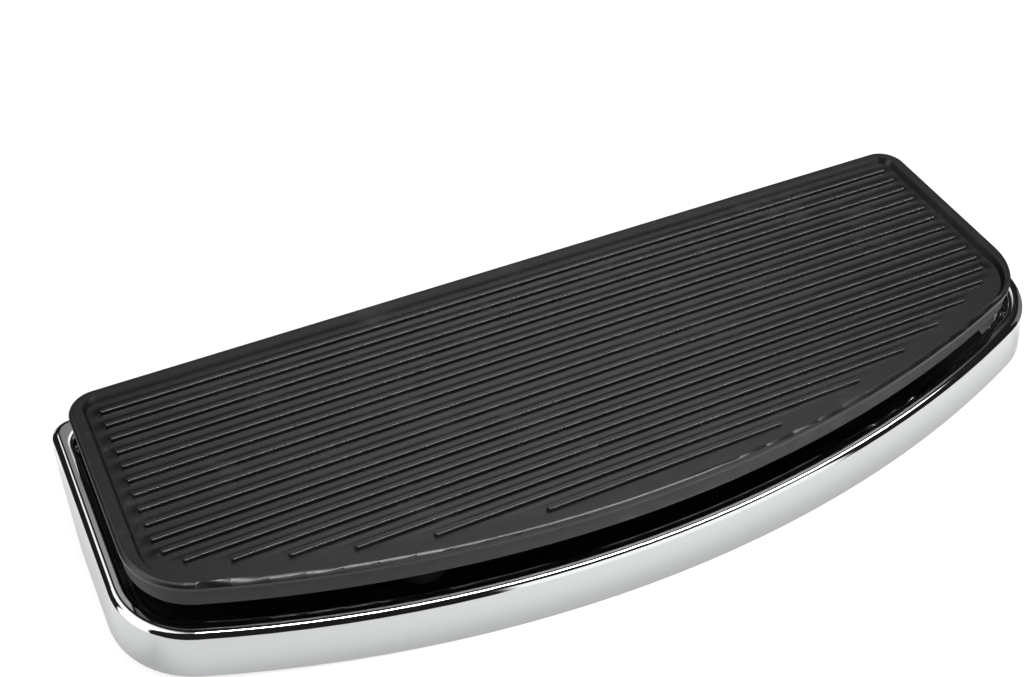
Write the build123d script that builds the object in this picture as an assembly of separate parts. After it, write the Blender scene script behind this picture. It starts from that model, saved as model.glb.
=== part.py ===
from build123d import *
from math import radians, sqrt, tan
import os

# Motorcycle floorboard: a chrome-plated pressed pan with two pivot brackets under its
# straight side, and a ribbed rubber tread pad that floats on rubber isolators.
# X runs along the board, +Y points to the straight inner side that faces the bike,
# -Y to the bowed outer side, and +Z is up. The tread is level. The origin lies under the
# middle of the pan's footprint, level with the lowest point of the pivot ears.
# All sizes are in millimetres.

# Pan, measured at the bottom edge of its skirt
pan_length = 349.6
pan_width = 135.0
pan_arc_radius = 420.0
pan_inner_corner = 9.0
pan_outer_corner = 31.7
sheet = 2.0
skirt_bottom = 14.0
skirt_draft = 8.2
crown_top = 31.6
crown_width = 5.2
crown_outer_round = 2.8
crown_inner_round = 2.0
tray_depth = 6.4
tray_draft = 15.0
tray_inner_corner = 6.0
tray_floor_round = 2.4

# Trim line of the pan's inner side: a deep apron between the brackets, and a short wall
# over each bracket that runs down to the full skirt along the ends
apron_bottom_length = 153.0
apron_top_length = 198.0
wall_bottom = 24.8
trim_round = 5.0
end_rise_start_inset = 44.25
end_rise_stop_inset = 8.75

# Openings in the pan floor beside the middle of the inner side
window_half_spacing = 52.0
window_base = 21.0
window_tip_inset = 17.25
window_depth = 17.0
window_round = 3.5

# Pivot brackets: a U of thick plate, welded by its web to the underside of the pan floor
bracket_half_spacing = 114.0
bracket_width = 24.0
bracket_plate = 4.2
bracket_bend = 2.0
bracket_depth = 42.0
pivot_inset = 12.25
pivot_height = 15.0
pivot_bore = 10.4
ear_nose_radius = 12.0
ear_nose_setback = 2.5
ear_back_radius = 5.0
ear_heel_height = 3.5
web_front_clearance = 2.0

# Tread pad, measured at its overhanging cap, which lies inside the foot of the skirt.
# It sits nearer to the left end, and the pan's bow is centred on it.
pad_left_margin = 8.3
pad_right_margin = 14.3
pad_inner_margin = 10.7
pad_outer_margin = 7.9
pad_arc_radius = 424.0
pad_inner_corner = 9.5
pad_outer_corner = 25.0
pad_thickness = 9.8
cap_height = 2.8
cap_overhang = 0.6
cap_round = 1.7
isolator_height = 14.0

# Recessed field of the tread and its ribs
border_end = 5.7
border_inner = 4.6
border_outer = 5.6
field_arc_radius = 480.0
field_inner_corner = 4.2
field_outer_corner = 19.0
field_depth = 2.1
field_wall_draft = 25.0
rib_count_wide = 10
rib_pitch_wide = 6.35
rib_pitch_close = 5.66
first_rib_inset = 10.0
last_rib_inset = 9.5
rib_end_inset = 9.3
rib_outer_inset = 7.2
rib_end_arc_radius = 375.0
rib_end_corner = 16.0
rib_width = 2.5
rib_height = 1.5
rib_draft = 7.0
rib_round = 0.45

# Isolators: rubber posts that snap into the pan floor and take a peg of the pad
isolator_diameter = 19.5
isolator_neck = 12.0
isolator_hole_clearance = 0.2
isolator_bulb = 15.0
isolator_tip = 9.0
isolator_lip = 2.0
isolator_tail = 8.0
isolator_edge_break = 0.8
peg_diameter = 7.0
peg_length = 10.0
peg_chamfer = 0.8
peg_clearance = 0.2
peg_end_clearance = 1.0
inner_isolator_inset = 24.25
end_isolator_inset = 32.4
end_isolator_inner_inset = 55.25
outer_isolator_half_spacing = 78.0
outer_isolator_inset = 42.25

# Levels and lines that follow from the sizes above
floor_top = crown_top - tray_depth
floor_bottom = floor_top - sheet
pad_bottom = floor_top + isolator_height
pad_top = pad_bottom + pad_thickness
field_level = pad_top - field_depth
pan_inner_y = pan_width / 2
pan_outer_y = -pan_width / 2
pad_length = pan_length - pad_left_margin - pad_right_margin
pad_middle_x = (pad_left_margin - pad_right_margin) / 2
pad_inner_y = pan_inner_y - pad_inner_margin
pad_outer_y = pan_outer_y + pad_outer_margin
pivot_y = pan_inner_y - pivot_inset
ear_nose_y = pivot_y - ear_nose_setback
ear_back_y = ear_nose_y + ear_nose_radius - bracket_depth
end_isolator_x = pan_length / 2 - end_isolator_inset
end_isolator_y = pan_inner_y - end_isolator_inner_inset
outer_isolator_y = pan_outer_y + outer_isolator_inset

isolator_places = {
    "isolator_inner": (0, pan_inner_y - inner_isolator_inset),
    "isolator_left_end": (-end_isolator_x, end_isolator_y),
    "isolator_right_end": (end_isolator_x, end_isolator_y),
    "isolator_left_outer": (-outer_isolator_half_spacing, outer_isolator_y),
    "isolator_right_outer": (outer_isolator_half_spacing, outer_isolator_y),
}


def board_outline(length, inner_y, outer_y, arc_radius, inner_corner, outer_corner, bow_x=0):
    """Plan outline of a floorboard: straight inner side and ends, bowed outer side."""
    half = length / 2
    arc_centre_y = outer_y + arc_radius
    left_foot = (-half, arc_centre_y - sqrt(arc_radius**2 - (-half - bow_x) ** 2))
    right_foot = (half, arc_centre_y - sqrt(arc_radius**2 - (half - bow_x) ** 2))
    sides = Polyline(right_foot, (half, inner_y), (-half, inner_y), left_foot)
    bow = ThreePointArc(left_foot, (bow_x, outer_y), right_foot)
    outline = make_face(sides + bow)
    inner_points = outline.vertices().group_by(Axis.Y)[-1]
    outline = fillet(inner_points, inner_corner)
    outer_points = outline.vertices().sort_by(Axis.Y)[:2]
    return fillet(outer_points, outer_corner)


def pan_outline(inset, inner_corner=None):
    """Outline of the pan's skirt bottom, moved in by the given distance."""
    return board_outline(
        pan_length - 2 * inset,
        pan_inner_y - inset,
        pan_outer_y + inset,
        pan_arc_radius - inset,
        inner_corner or pan_inner_corner - inset,
        pan_outer_corner - inset,
        pad_middle_x,
    )


def skirt_inset(height):
    """How far the skirt's outer face has leaned in at a height."""
    return (height - skirt_bottom) * tan(radians(skirt_draft))


def tray_inset(height):
    """How far the tray's inner wall lies inside the outline at a height."""
    wall_lean = (crown_top - height) * tan(radians(tray_draft))
    return skirt_inset(crown_top) + crown_width + wall_lean


def tray_outline(height, outward=0.0):
    """Outline of the tray's inner wall at a height, moved out by the given distance."""
    inset = tray_inset(height) - outward
    return pan_outline(inset, tray_inner_corner + tray_inset(floor_top) - inset)


def crown_shell():
    """Skirt and rolled crown around the tray, as one closed sheet-metal section."""
    outside = extrude(Pos(Z=skirt_bottom) * pan_outline(0), crown_top - skirt_bottom, taper=skirt_draft)
    outside = fillet(outside.faces().sort_by(Axis.Z)[-1].outer_wire().edges(), crown_outer_round)
    tray = extrude(Pos(Z=floor_top) * tray_outline(floor_top), tray_depth, taper=-tray_draft)
    tray = fillet(tray.faces().sort_by(Axis.Z)[0].edges(), tray_floor_round)
    shell = outside - tray
    mouth = shell.faces().group_by(Axis.Z)[-1].sort_by(Axis.Y)[0].inner_wires()[0]
    return fillet(mouth.edges(), crown_inner_round)


def underside_hollow():
    """Space below the floor and inside the crown, one sheet thickness from the outside."""
    below_floor = floor_bottom - skirt_bottom
    under_floor = extrude(Pos(Z=skirt_bottom) * pan_outline(sheet), below_floor, taper=skirt_draft)
    crown_hollow = crown_top - sheet - floor_bottom
    skirt_side = extrude(
        Pos(Z=floor_bottom) * pan_outline(sheet + skirt_inset(floor_bottom)), crown_hollow, taper=skirt_draft
    )
    tray_side = extrude(
        Pos(Z=floor_bottom) * tray_outline(floor_bottom, sheet), crown_hollow, taper=-tray_draft
    )
    return under_floor + (skirt_side - tray_side)


def trim_cutter():
    """Everything that is trimmed off the skirt on both sides of the apron."""
    reach = pan_length
    below = -skirt_bottom
    foot = apron_bottom_length / 2
    shoulder = apron_top_length / 2
    front_view = Polyline(
        (foot, below), (foot, skirt_bottom), (shoulder, wall_bottom), (reach, wall_bottom), (reach, below),
        close=True,
    )
    front_face = make_face(front_view)
    shoulder_point = front_face.vertices().sort_by_distance((shoulder, wall_bottom))[0]
    front_face = fillet(shoulder_point, trim_round)
    right_cut = extrude(Plane.XZ * front_face, reach, both=True)
    rise_start = pan_inner_y - end_rise_start_inset
    side_view = Polyline(
        (rise_start, below),
        (rise_start, skirt_bottom),
        (pan_inner_y - end_rise_stop_inset, wall_bottom),
        (reach, wall_bottom),
        (reach, below),
        close=True,
    )
    side_cut = extrude(Plane.YZ * make_face(side_view), reach, both=True)
    right_cut = right_cut & side_cut
    return right_cut + mirror(right_cut, Plane.YZ)


def floor_windows():
    """Rounded triangular openings, one each side of the inner isolator."""
    tip_y = pan_inner_y - window_tip_inset
    base_y = tip_y - window_depth
    triangle = Polyline(
        (window_half_spacing - window_base / 2, base_y),
        (window_half_spacing + window_base / 2, base_y),
        (window_half_spacing, tip_y + window_round),
        close=True,
    )
    face = make_face(triangle)
    face = fillet(face.vertices(), window_round)
    window = extrude(Pos(Z=floor_top) * face, sheet * 2, both=True)
    return window + mirror(window, Plane.YZ)


def pan():
    """Pressed pan: tray floor, rolled crown, flared skirt and apron in one sheet."""
    body = crown_shell() - underside_hollow() - trim_cutter() - floor_windows()
    radius = isolator_neck / 2 + isolator_hole_clearance
    for x, y in isolator_places.values():
        body -= Pos(x, y, floor_top) * Cylinder(radius, sheet * 4)
    return body


def ear_profile():
    """Side view of a bracket: round nose at the pivot, flat top under the pan floor."""
    nose = Pos(ear_nose_y, ear_nose_radius) * Circle(ear_nose_radius)
    heel_y = ear_back_y + 2 * ear_back_radius
    heel = Pos(heel_y, ear_heel_height + ear_back_radius) * Circle(ear_back_radius)
    top_back = Pos(ear_back_y + ear_back_radius, floor_bottom - ear_back_radius) * Circle(ear_back_radius)
    side = make_hull(nose.edges() + heel.edges() + top_back.edges())
    above_floor = Pos(ear_nose_y, floor_bottom + ear_nose_radius) * Rectangle(
        pan_width, 2 * ear_nose_radius
    )
    return side - above_floor


def pivot_bracket():
    """Channel of plate with two ears, bored through both for the pivot pin."""
    block = extrude(Plane.YZ * ear_profile(), bracket_width / 2, both=True)
    gap = bracket_width - 2 * bracket_plate
    web_bottom = floor_bottom - bracket_plate
    web_front = pivot_y - pivot_bore / 2 - web_front_clearance
    channel = Pos(0, ear_nose_y, web_bottom / 2) * Box(gap, pan_width, web_bottom)
    channel = fillet(channel.edges().filter_by(Axis.Y).group_by(Axis.Z)[-1], bracket_bend)
    front = Pos(0, web_front + pan_width / 2, floor_bottom / 2) * Box(gap, pan_width, floor_bottom * 2)
    pin_hole = Pos(0, pivot_y, pivot_height) * Rot(Y=90) * Cylinder(pivot_bore / 2, bracket_width * 2)
    return block - channel - front - pin_hole


def pad_outline(inset):
    """Outline of the pad's cap about its own middle, moved in by the given distance."""
    return board_outline(
        pad_length - 2 * inset,
        pad_inner_y - inset,
        pad_outer_y + inset,
        pad_arc_radius - inset,
        pad_inner_corner - inset,
        pad_outer_corner - inset,
    )


def rib_half_length(y):
    """Half the length of a rib, which stops on an outline like that of the field."""
    half = pad_length / 2 - rib_end_inset
    arc_centre = pad_outer_y + rib_outer_inset + rib_end_arc_radius
    corner_x = half - rib_end_corner
    inner_radius = rib_end_arc_radius - rib_end_corner
    corner_y = arc_centre - sqrt(inner_radius**2 - corner_x**2)
    tangent_y = arc_centre + (corner_y - arc_centre) * rib_end_arc_radius / inner_radius
    if y >= corner_y:
        return half
    if y <= tangent_y:
        return sqrt(rib_end_arc_radius**2 - (arc_centre - y) ** 2)
    return corner_x + sqrt(rib_end_corner**2 - (corner_y - y) ** 2)


def rib_rows():
    """Y of each rib: wide pitch from the inner side, closer pitch towards the bow."""
    rows = [pad_inner_y - first_rib_inset - i * rib_pitch_wide for i in range(rib_count_wide)]
    last_row = pad_outer_y + last_rib_inset
    while rows[-1] - rib_pitch_close >= last_row:
        rows.append(rows[-1] - rib_pitch_close)
    return [row for row in rows if row >= last_row]


def rib(y):
    """One tread rib: leaning sides and soft long edges, cut to round ends."""
    half = rib_half_length(y)
    foot = rib_width / 2
    top = foot - rib_height * tan(radians(rib_draft))
    section = make_face(
        Polyline((-foot, 0), (foot, 0), (top, rib_height), (-top, rib_height), close=True)
    )
    section = fillet(section.vertices().group_by(Axis.Y)[-1], rib_round)
    bar = extrude(Plane.YZ * section, half, both=True)
    round_ends = extrude(SlotOverall(2 * half, rib_width), rib_height, taper=rib_draft)
    return Pos(0, y, field_level) * (bar & round_ends)


def tread_pad():
    """Moulded rubber pad: side wall, overhanging cap, recessed field, ribs and pegs."""
    wall_height = pad_thickness - cap_height
    wall = extrude(Pos(Z=pad_bottom) * pad_outline(cap_overhang), wall_height)
    cap = extrude(Pos(Z=pad_top - cap_height) * pad_outline(0), cap_height)
    cap = fillet(cap.faces().sort_by(Axis.Z)[-1].edges(), cap_round)
    field = board_outline(
        pad_length - 2 * border_end,
        pad_inner_y - border_inner,
        pad_outer_y + border_outer,
        field_arc_radius,
        field_inner_corner,
        field_outer_corner,
    )
    body = wall + cap - extrude(Pos(Z=field_level) * field, 2 * field_depth, taper=-field_wall_draft)
    for y in rib_rows():
        body += rib(y)
    body = Pos(X=pad_middle_x) * body
    peg = Pos(Z=pad_bottom - peg_length / 2) * Cylinder(peg_diameter / 2, peg_length)
    peg = chamfer(peg.faces().sort_by(Axis.Z)[0].edges(), peg_chamfer)
    for x, y in isolator_places.values():
        body += Pos(x, y) * peg
    return body


def isolator():
    """Rubber post with a groove for the pan floor, a snap-in bulb and a peg hole."""
    post = isolator_diameter / 2
    neck = isolator_neck / 2
    bulb = isolator_bulb / 2
    tip = isolator_tip / 2
    hole = peg_diameter / 2 + peg_clearance
    hole_bottom = pad_bottom - peg_length - peg_end_clearance
    tail_bottom = floor_bottom - isolator_tail
    half_section = Polyline(
        (hole, pad_bottom),
        (post, pad_bottom),
        (post, floor_top),
        (neck, floor_top),
        (neck, floor_bottom),
        (bulb, floor_bottom),
        (bulb, floor_bottom - isolator_lip),
        (tip, tail_bottom),
        (0, tail_bottom),
        (0, hole_bottom),
        (hole, hole_bottom),
        close=True,
    )
    face = make_face(Plane.XZ * half_section)
    body = revolve(face, Axis.Z)
    top_edge = body.edges().filter_by(GeomType.CIRCLE).group_by(Axis.Z)[-1].sort_by(SortBy.RADIUS)[-1]
    return chamfer(top_edge, isolator_edge_break)


def build_nodes():
    """Every separate piece of the floorboard, by name."""
    nodes = {"pan": pan(), "tread_pad": tread_pad()}
    bracket = pivot_bracket()
    nodes["pivot_bracket_left"] = Pos(X=-bracket_half_spacing) * bracket
    nodes["pivot_bracket_right"] = Pos(X=bracket_half_spacing) * bracket
    post = isolator()
    for name, (x, y) in isolator_places.items():
        nodes[name] = Pos(x, y) * post
    return nodes


os.makedirs("parts", exist_ok=True)
for node_name, shape in build_nodes().items():
    export_step(shape, f"parts/{node_name}.step")
    print(node_name, round(shape.volume), "cubic mm")
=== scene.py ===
# %% [markdown]
# # A chromed floorboard with a ribbed rubber tread
# The object is a rider's floorboard: a pressed and chrome-plated steel pan, two pivot
# brackets under its straight side, and a moulded rubber pad that floats on rubber posts.
# Its pieces come finished from the frame, in metres and in their places. This lesson gives
# them their surfaces, and adds the floor, the lights that the chrome mirrors and the camera.

# %% Load the frame
import math

import bmesh
import bpy
from mathutils import Matrix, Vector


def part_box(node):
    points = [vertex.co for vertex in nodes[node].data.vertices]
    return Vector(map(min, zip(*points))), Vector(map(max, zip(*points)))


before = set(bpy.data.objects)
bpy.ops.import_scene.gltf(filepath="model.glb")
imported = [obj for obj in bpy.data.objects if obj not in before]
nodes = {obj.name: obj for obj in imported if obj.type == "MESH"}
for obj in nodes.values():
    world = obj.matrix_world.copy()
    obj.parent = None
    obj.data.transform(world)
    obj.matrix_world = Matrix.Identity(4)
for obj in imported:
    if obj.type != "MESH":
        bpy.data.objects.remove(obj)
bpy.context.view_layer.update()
scene = bpy.context.scene
MM = 0.001
print("pieces:", ", ".join(sorted(nodes)))

# %% [markdown]
# ## Measures read from the frame
# The hollows between the ribs, the floor and what the chrome mirrors of it take their
# places from the pan, the pad and one bracket. The sizes of these pieces could be typed in
# once more, but would be wrong after a change to the part. So they are read from the boxes
# around them.

# %% Measures
pan_low, pan_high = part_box("pan")
pad_low, pad_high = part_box("tread_pad")
ear_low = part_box("pivot_bracket_left")[0]
print("pan", [round(side / MM, 1) for side in pan_high - pan_low], "mm")
print("pad", [round(side / MM, 1) for side in pad_high - pad_low], "mm")

# %% [markdown]
# ## The camera
# The board is seen from above its outer left corner with a fairly long lens. A camera can
# be aimed by a constraint, but the perspective of a picture fixes both its place and its
# turn, so both are plain numbers here, in the board's own axes. The lens axis points a
# little away from the middle of the picture, and a small shift takes care of that.

# %% Camera
CAMERA_PLACE = (-0.18610, -0.30522, 0.39871)
CAMERA_TURN = (46.2434, -2.0507, -26.9987)
CAMERA_LENS = 52.308
CAMERA_SHIFT = (-0.04441, -0.00101)
SENSOR_WIDTH = 36
NEAREST, FARTHEST = 0.01, 50


def make_camera():
    data = bpy.data.cameras.new("camera")
    data.lens = CAMERA_LENS
    data.sensor_width = SENSOR_WIDTH
    data.shift_x, data.shift_y = CAMERA_SHIFT
    data.clip_start, data.clip_end = NEAREST, FARTHEST
    camera = bpy.data.objects.new("camera", data)
    camera.location = CAMERA_PLACE
    camera.rotation_euler = [math.radians(angle) for angle in CAMERA_TURN]
    scene.collection.objects.link(camera)
    return camera


scene.camera = make_camera()
scene.view_settings.view_transform = "Standard"
print("camera", round(scene.camera.location.length, 2), "m from the board's origin")

# %% [markdown]
# ## Shader maths in plain expressions
# A material is a graph of nodes. Written out node by node, even a small sum takes many
# lines. The class below wraps one output socket, so that an expression such as
# `1 - mask * 0.5` adds the Math nodes that it needs.


# %% Helper: sockets that can be added and multiplied
class Value:
    """One output socket. A sum on it adds Math nodes to its graph."""

    def __init__(self, shader, socket):
        self.shader = shader
        self.socket = socket

    def math(self, operation, *others):
        return self.shader.math(operation, self, *others)

    def __add__(self, other):
        return self.math("ADD", other)

    def __mul__(self, other):
        return self.math("MULTIPLY", other)

    def __sub__(self, other):
        return self.math("SUBTRACT", other)

    def __truediv__(self, other):
        return self.math("DIVIDE", other)

    __radd__ = __add__
    __rmul__ = __mul__

    def __rsub__(self, other):
        return self.shader.math("SUBTRACT", other, self)

    def __rtruediv__(self, other):
        return self.shader.math("DIVIDE", other, self)

    def ramp(self, low, high):
        """0 below low, 1 above high, and a smooth change between them."""
        inputs = {"Value": self, "From Min": low, "From Max": high}
        return self.shader.node("ShaderNodeMapRange", {"interpolation_type": "SMOOTHSTEP"}, inputs)


print("reflected forms:", ", ".join(name for name in vars(Value) if name.startswith("__r")))

# %% [markdown]
# ## A graph of nodes
# Every node is made by one method, `Shader.node`. It takes the node's type, its settings,
# and a number, a colour or another node's output for each socket. The short methods after
# it give the nodes that come back again and again a plain name.


# %% Helper: the graph of one material
def grey(brightness, blue=1.0):
    return (brightness, brightness, brightness * blue, 1)


class Shader:
    """The graph of one material or of the world."""

    def __init__(self, owner):
        owner.use_nodes = True
        self.tree = owner.node_tree
        self.tree.nodes.clear()

    def node(self, kind, settings, inputs, output=0):
        """Adds a node, sets it up, feeds its sockets and returns one of its outputs."""
        node = self.tree.nodes.new(kind)
        for name, value in settings.items():
            setattr(node, name, value)
        for name, value in inputs.items():
            if isinstance(value, Value):
                self.tree.links.new(value.socket, node.inputs[name])
            else:
                node.inputs[name].default_value = value
        return Value(self, node.outputs[output]) if node.outputs else None

    def math(self, operation, *inputs):
        return self.node("ShaderNodeMath", {"operation": operation}, dict(enumerate(inputs)))

    def position(self):
        return self.node("ShaderNodeTexCoord", {}, {}, "Object")

    def axes(self, vector):
        return [self.node("ShaderNodeSeparateXYZ", {}, {"Vector": vector}, axis) for axis in "XYZ"]

    def noise(self, vector, scale, detail, roughness):
        inputs = {"Vector": vector, "Scale": scale, "Detail": detail, "Roughness": roughness}
        return self.node("ShaderNodeTexNoise", {}, inputs, "Fac")

    def mix_colours(self, factor, first, second):
        """The Mix node's colour sockets are its inputs 6 and 7, and its output 2."""
        return self.node("ShaderNodeMix", {"data_type": "RGBA"}, {0: factor, 6: first, 7: second}, 2)

    def mix_surfaces(self, factor, first, second):
        return self.node("ShaderNodeMixShader", {}, {0: factor, 1: first, 2: second})

    def add_surfaces(self, first, second):
        return self.node("ShaderNodeAddShader", {}, {0: first, 1: second})

    def bump(self, height, distance):
        return self.node("ShaderNodeBump", {}, {"Height": height, "Distance": distance})

    def diffuse(self, brightness):
        return self.node("ShaderNodeBsdfDiffuse", {}, {"Color": grey(brightness)})

    def glow(self, colour):
        return self.node("ShaderNodeEmission", {}, {"Color": colour})

    def light_path(self, question):
        return self.node("ShaderNodeLightPath", {}, {}, question)

    def finish(self, surface, kind="Material"):
        self.node("ShaderNodeOutput" + kind, {}, {"Surface": surface})


print("a mid grey is", grey(0.5))

# %% [markdown]
# ## Putting a material on a piece
# The pieces of the frame keep their meshes and their places. Only the list of materials on
# the mesh is emptied and filled again.


# %% Helper: dress a piece
def dress(piece_names, material):
    for name in piece_names:
        mesh = nodes[name].data
        mesh.materials.clear()
        mesh.materials.append(material)
    print(material.name, "on", ", ".join(piece_names))


# %% [markdown]
# ## Chrome plate
# Bright chrome is almost a mirror, and a dim one: it gives back a little over half of the
# light. A metal with a very low roughness would do, but it looks like a perfect mirror.
# The polished steel under the plate is never quite flat, so a noise bends the reflections
# a little, and a second one lays a thin haze over them. The brackets are less polished.

# %% Chrome values
PAN_CHROME = (0.56, 0.57, 0.575, 1)
BRACKET_CHROME = (0.54, 0.54, 0.535, 1)
PAN_ROUGHNESS, BRACKET_ROUGHNESS = 0.03, 0.07
PAN_WAVE, BRACKET_WAVE = 0.02 * MM, 0.04 * MM
# Each pattern: repeats per metre, levels of detail, how strong the finer levels are
WAVES = (45, 1, 0.5)
HAZE = (60, 3, 0.5)
HAZE_RANGE = (0.35, 0.75)
HAZE_ROUGHNESS = 0.03
print("waves in the plate are about", round(1 / WAVES[0] / MM), "mm long")


# %% Chrome material
def chrome(name, colour, roughness, wave_depth):
    material = bpy.data.materials.new(name)
    shader = Shader(material)
    place = shader.position()
    haze = shader.noise(place, *HAZE).ramp(*HAZE_RANGE)
    waves = shader.noise(place, *WAVES)
    inputs = {
        "Base Color": colour,
        "Metallic": 1.0,
        "Roughness": haze * HAZE_ROUGHNESS + roughness,
        "Normal": shader.bump(waves, wave_depth),
    }
    shader.finish(shader.node("ShaderNodeBsdfPrincipled", {}, inputs))
    return material


bracket_names = ["pivot_bracket_left", "pivot_bracket_right"]
dress(["pan"], chrome("chrome_plate", PAN_CHROME, PAN_ROUGHNESS, PAN_WAVE))
dress(bracket_names, chrome("bracket_chrome", BRACKET_CHROME, BRACKET_ROUGHNESS, BRACKET_WAVE))

# %% [markdown]
# ## Hollows between the ribs
# The ribs of the pad are solid, and the rubber between two of them is a shallow hollow
# that rises towards both. Rounding every hollow in the mesh would take many faces for a
# quarter of a millimetre, so the material bends the light there instead. For that it has
# to know how far a spot lies between two ribs, and where the ribbed field ends. Both are
# worked out from the place in plan alone, because a mask that changed with the height too
# would draw false edges on the steep sides of the ribs.

# %% Where the ribs are
FIRST_RIB = 10 * MM
RIB_PITCH = 6.35 * MM
CLOSE_PITCH = 5.66 * MM
WIDE_GAPS = 9
RIB_END_RADIUS = 375 * MM
RIB_END_INSET = 9.3 * MM
END_FADE = 4 * MM
BOW_FADE = 3 * MM
FADE_START = 1 * MM
BACK_FADE = RIB_PITCH / 20
first_rib_y = pad_high.y - FIRST_RIB
pad_middle_x = (pad_low.x + pad_high.x) / 2
print("first rib at y", round(first_rib_y / MM, 1), "mm")
print(WIDE_GAPS, "gaps of", round(RIB_PITCH / MM, 2), "mm, then gaps of", round(CLOSE_PITCH / MM, 2))


# %% Where a spot lies in the ribbed field
def between_ribs(y):
    """Place of a spot between two ribs: -1 on one, 0 halfway, 1 on the next."""
    down = first_rib_y - y
    last_wide = RIB_PITCH * WIDE_GAPS
    wide = (down / RIB_PITCH).math("FRACT")
    close = ((down - last_wide) / CLOSE_PITCH).math("FRACT")
    is_close = down.math("GREATER_THAN", last_wide)
    phase = wide + (close - wide) * is_close
    return phase * 2 - 1


def over_the_ribs(x, y):
    """1 over the ribs, fading to 0 between their ends and the border of the pad."""
    first_end = pad_low.x + RIB_END_INSET
    last_end = pad_high.x - RIB_END_INSET
    back_end = first_rib_y + RIB_PITCH / 2
    past_left = x.ramp(first_end - END_FADE, first_end + FADE_START)
    past_right = x.ramp(last_end - FADE_START, last_end + END_FADE)
    past_back = y.ramp(back_end - BACK_FADE, back_end + BACK_FADE)
    across = x - pad_middle_x
    down = pad_low.y + RIB_END_INSET + RIB_END_RADIUS - y
    radius = (across * across + down * down).math("SQRT")
    past_bow = radius.ramp(RIB_END_RADIUS - FADE_START, RIB_END_RADIUS + BOW_FADE)
    return past_left * (1 - past_right) * (1 - past_back) * (1 - past_bow)


print("the ribs end", round(RIB_END_INSET / MM, 1), "mm inside the edge of the pad")

# %% [markdown]
# ## Black rubber
# The pad is moulded in black rubber. It is never quite black: the mould leaves a fine
# grain that catches the light, and handling leaves pale scuffs. One even grey would look
# like paper, so a cloudy noise varies the shade, a finer one breaks up the gloss, and the
# scuffs show where a third one is strong. The ribbed field is shiny, its border is duller,
# and the side of the pad is matt. The posts are the same rubber, paler and matt all over.

# %% Rubber values
PAD_SHADE, POST_SHADE = 0.003, 0.014
PAD_ROUGHNESS, POST_ROUGHNESS = 0.15, 0.5
BLUE_TINT = 1.02
PALER = 1.5
SCUFF_GREY = 0.012
RUBBER_IOR = 1.5
# Each pattern: repeats per metre, levels of detail, how strong the finer levels are
CLOUDS = (25, 4, 0.6)
BLOTCHES = (180, 3, 0.6)
SCUFFS = (55, 6, 0.7)
GRAIN = (2500, 2, 0.6)
CLOUD_RANGE = (0.3, 0.7)
BLOTCH_RANGE = (0.4, 0.6)
SCUFF_RANGE = (0.52, 0.66)
GRAIN_DEPTH = 0.012 * MM
BLOTCH_DEPTH = 0.0072 * MM
HOLLOW_DEPTH = 0.26 * MM
# What each pattern and place adds to the roughness
BLOTCH_MATT, CLOUD_MATT, SCUFF_MATT = 0.12, 0.08, 0.12
BORDER_MATT, SIDE_MATT = 0.12, 0.2
# The matt side starts and is fully there this far below the top of the pad
SIDE_START, SIDE_FULL = 2.8 * MM, 4.2 * MM
print("the hollows are", round(HOLLOW_DEPTH / MM, 2), "mm deep")


# %% Rubber material
def rubber(name, shade, roughness, ribbed):
    material = bpy.data.materials.new(name)
    shader = Shader(material)
    place = shader.position()
    cloud = shader.noise(place, *CLOUDS)
    blotch = shader.noise(place, *BLOTCHES)
    scuff = shader.noise(place, *SCUFFS).ramp(*SCUFF_RANGE) * blotch.ramp(*BLOTCH_RANGE)
    dark, pale = grey(shade, BLUE_TINT), grey(shade * PALER)
    colour = shader.mix_colours(cloud.ramp(*CLOUD_RANGE), dark, pale)
    colour = shader.mix_colours(scuff, colour, grey(SCUFF_GREY))
    relief = shader.noise(place, *GRAIN) * GRAIN_DEPTH + blotch * BLOTCH_DEPTH
    roughness = blotch * BLOTCH_MATT + cloud * CLOUD_MATT + scuff * SCUFF_MATT + roughness
    if ribbed:
        x, y, z = shader.axes(place)
        hollow = between_ribs(y).math("ABSOLUTE").ramp(0, 1)
        field = over_the_ribs(x, y)
        on_side = 1 - z.ramp(pad_high.z - SIDE_FULL, pad_high.z - SIDE_START)
        relief = relief + hollow * field * HOLLOW_DEPTH
        roughness = roughness + (1 - field) * BORDER_MATT + on_side * SIDE_MATT
    inputs = {
        "Base Color": colour,
        "Roughness": roughness,
        "IOR": RUBBER_IOR,
        "Normal": shader.bump(relief, 1.0),
    }
    shader.finish(shader.node("ShaderNodeBsdfPrincipled", {}, inputs))
    return material


post_names = [name for name in sorted(nodes) if name.startswith("isolator")]
dress(["tread_pad"], rubber("pad_rubber", PAD_SHADE, PAD_ROUGHNESS, True))
dress(post_names, rubber("isolator_rubber", POST_SHADE, POST_ROUGHNESS, False))

# %% [markdown]
# ## The floor
# Off the bike, the board leans: it stands on the tips of its four ears and on the bottom
# edge of the outer skirt. The board could be turned to suit a level floor, but its pieces
# stay where the frame puts them. So it is the floor that leans, and passes through those
# two lines.

# %% Floor shape
FLOOR_REACH = 6.0
FLOOR_GAP = 0.2 * MM
EAR_TIP_SETBACK = 14.75 * MM
ear_tip_y = pan_high.y - EAR_TIP_SETBACK
lean = math.atan2(pan_low.z - ear_low.z, ear_tip_y - pan_low.y)
print("the floor leans", round(math.degrees(lean), 1), "degrees")


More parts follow.
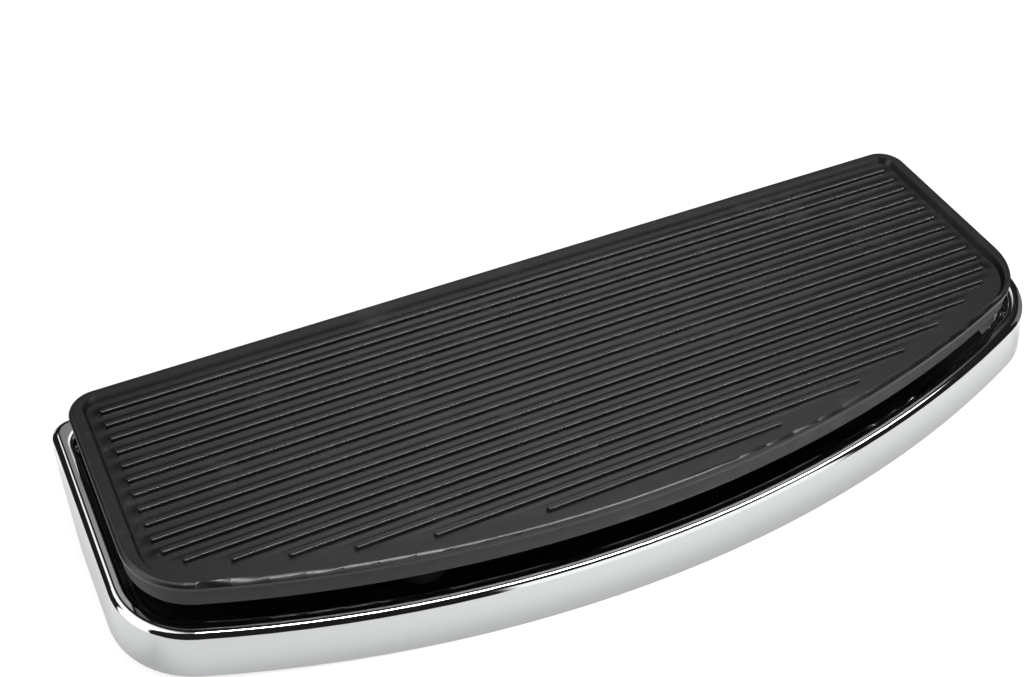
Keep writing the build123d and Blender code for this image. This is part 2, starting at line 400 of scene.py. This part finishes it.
def make_floor():
    mesh = bpy.data.meshes.new("floor")
    shape = bmesh.new()
    bmesh.ops.create_grid(shape, x_segments=1, y_segments=1, size=FLOOR_REACH)
    bmesh.ops.rotate(shape, verts=shape.verts, matrix=Matrix.Rotation(-lean, 3, "X"))
    bmesh.ops.translate(shape, verts=shape.verts, vec=(0, ear_tip_y, ear_low.z - FLOOR_GAP))
    shape.to_mesh(mesh)
    shape.free()
    floor = bpy.data.objects.new("floor", mesh)
    scene.collection.objects.link(floor)
    return floor


floor = make_floor()

# %% [markdown]
# ## What the floor looks like
# The floor looks different to three kinds of light rays. The camera sees white paper that
# keeps the board's shadow: most of its brightness is its own, and the rest comes from the
# light that falls on it. Soft light bounces off plain pale paper. A mirror such as the
# chrome sees a bright glowing card, which reaches a little way past the board, is darkened
# close to it by a painted shadow and towards the left end by painted shade, and past its
# edge the room. One plain white floor would be simpler, but then the chrome would be white
# too. From below the floor is clear, so that the underside can be looked at.

# %% Card values
BOW_RADIUS = 420 * MM
CARD_REACH = 34 * MM
CARD_EDGE = 3 * MM
CARD_GLOW = 1.15
CARD_GREY = 0.06
# How far the painted shadow on the card reaches past the board, and how deep it is
SHADE_REACH, SHADE = 18 * MM, 0.4
# Where painted shade dims the card towards the left end, and by how much
LEFT_FADE, LEFT_SHADE = (-170 * MM, -20 * MM), 0.14
PAPER_GREY = 0.8
SHOWN_GLOW = 0.8
print("the card reaches", round(CARD_REACH / MM), "mm past the board")


# %% Floor material
def past_the_board(x, y):
    """How far a spot lies outside the board's outline, less than 0 under the board."""
    across = x - pad_middle_x
    along = y - (pan_low.y + BOW_RADIUS)
    past_bow = (across * across + along * along).math("SQRT") - BOW_RADIUS
    past_end = x.math("ABSOLUTE") - pan_high.x
    past_back = y - pan_high.y
    return past_bow.math("MAXIMUM", past_end).math("MAXIMUM", past_back)


def floor_material():
    material = bpy.data.materials.new("white_floor")
    shader = Shader(material)
    x, y, _ = shader.axes(shader.position())
    past = past_the_board(x, y)
    painted_shadow = 1 - past.ramp(0, SHADE_REACH)
    left = 1 - x.ramp(*LEFT_FADE)
    # The card's glow, darkened by a painted shadow close to the board and by painted shade towards
    # the left end
    brightness = CARD_GLOW * (1 - painted_shadow * painted_shadow * SHADE) * (1 - left * LEFT_SHADE)
    card = shader.add_surfaces(shader.glow(brightness), shader.diffuse(CARD_GREY))
    clear = shader.node("ShaderNodeBsdfTransparent", {}, {})
    off_card = past.ramp(CARD_REACH - CARD_EDGE, CARD_REACH + CARD_EDGE)
    mirrored = shader.mix_surfaces(off_card, card, clear)
    shown = shader.add_surfaces(shader.glow(grey(SHOWN_GLOW)), shader.diffuse(1 - SHOWN_GLOW))
    paper = shader.diffuse(PAPER_GREY)
    top = shader.mix_surfaces(shader.light_path("Is Glossy Ray"), paper, mirrored)
    top = shader.mix_surfaces(shader.light_path("Is Camera Ray"), top, shown)
    below = shader.node("ShaderNodeNewGeometry", {}, {}, "Backfacing")
    shader.finish(shader.mix_surfaces(below, top, clear))
    return material


floor.data.materials.append(floor_material())
print(floor.data.materials[0].name, "on", floor.name)

# %% [markdown]
# ## The panels of the room
# Chrome shows the room more than itself. Lamps would give it hard bright spots, so the room
# is a dark studio with a few large lit panels. A panel on a wall is given by how far it is
# turned from the front (in degrees, positive to the right), how high it stands (in degrees)
# and how bright it is. The wall behind the board runs on through half a turn, so its panel
# comes in two parts. The edges of these panels are soft over a few degrees. A panel in the
# ceiling is a rectangle on a plane one metre above the board, with soft edges of its own.

# %% Panels
# From and to in turn, from and to in height, brightness
WALL_PANELS = (
    ((3, 43), (-26, 28), 1.6),
    ((-112, -75), (-28, 46), 1.9),
    ((80, 110), (-15, 30), 0.24),
    ((152, 190), (-50, 2), 0.9),
    ((-190, -152), (-50, 2), 0.9),
)
# From and to across, from and to along, brightness, soft edges across and along
CEILING_PANELS = (
    ((-0.3, 1.15), (-0.50, -0.38), 52.0, (0.15, 0.02)),
    ((-1.5, -0.4), (-0.4, 1.2), 1.7, (0.12, 0.05)),
    ((0.1, 0.76), (0.2, 1.05), 1.65, (0.2, 0.33)),
)
WALL_EDGE = 1.5
DARK = 0.02
LOWEST = 0.02
print(len(WALL_PANELS), "panels on the walls,", len(CEILING_PANELS), "in the ceiling")

# %% [markdown]
# ## The room as a world
# A direction in the world is a vector of length one. Its turn and its height give the place
# on the walls, and divided by its upward part it gives the place on the ceiling, for which
# that part never goes below a small number. Each panel adds its light to the dark room.
# The camera itself sees plain white in place of the room.


# %% World
def band(value, low, high, edge):
    """1 between low and high, with a soft edge on both sides."""
    return value.ramp(low - edge, low + edge) * (1 - value.ramp(high - edge, high + edge))


def make_room():
    world = bpy.data.worlds.new("studio")
    shader = Shader(world)
    x, y, z = shader.axes(shader.node("ShaderNodeTexCoord", {}, {}, "Generated"))
    turn = x.math("ARCTAN2", 0 - y) * math.degrees(1)
    height = z.math("ARCSINE") * math.degrees(1)
    up = z.math("MAXIMUM", LOWEST)
    ceiling_x, ceiling_y = x / up, y / up
    light = DARK
    for turns, heights, strength in WALL_PANELS:
        panel = band(turn, *turns, WALL_EDGE) * band(height, *heights, WALL_EDGE)
        light = light + panel * strength
    for across, along, strength, (edge_across, edge_along) in CEILING_PANELS:
        panel = band(ceiling_x, *across, edge_across) * band(ceiling_y, *along, edge_along)
        light = light + panel * strength
    seen = shader.light_path("Is Camera Ray")
    light = light * (1 - seen) + seen
    shader.finish(shader.node("ShaderNodeBackground", {}, {"Color": light}), "World")
    return world


scene.world = make_room()
print("world:", scene.world.name, "with", len(scene.world.node_tree.nodes), "nodes")

# %% [markdown]
# ## Sizes and end
# The surfaces and the room leave the size of the board as it was.
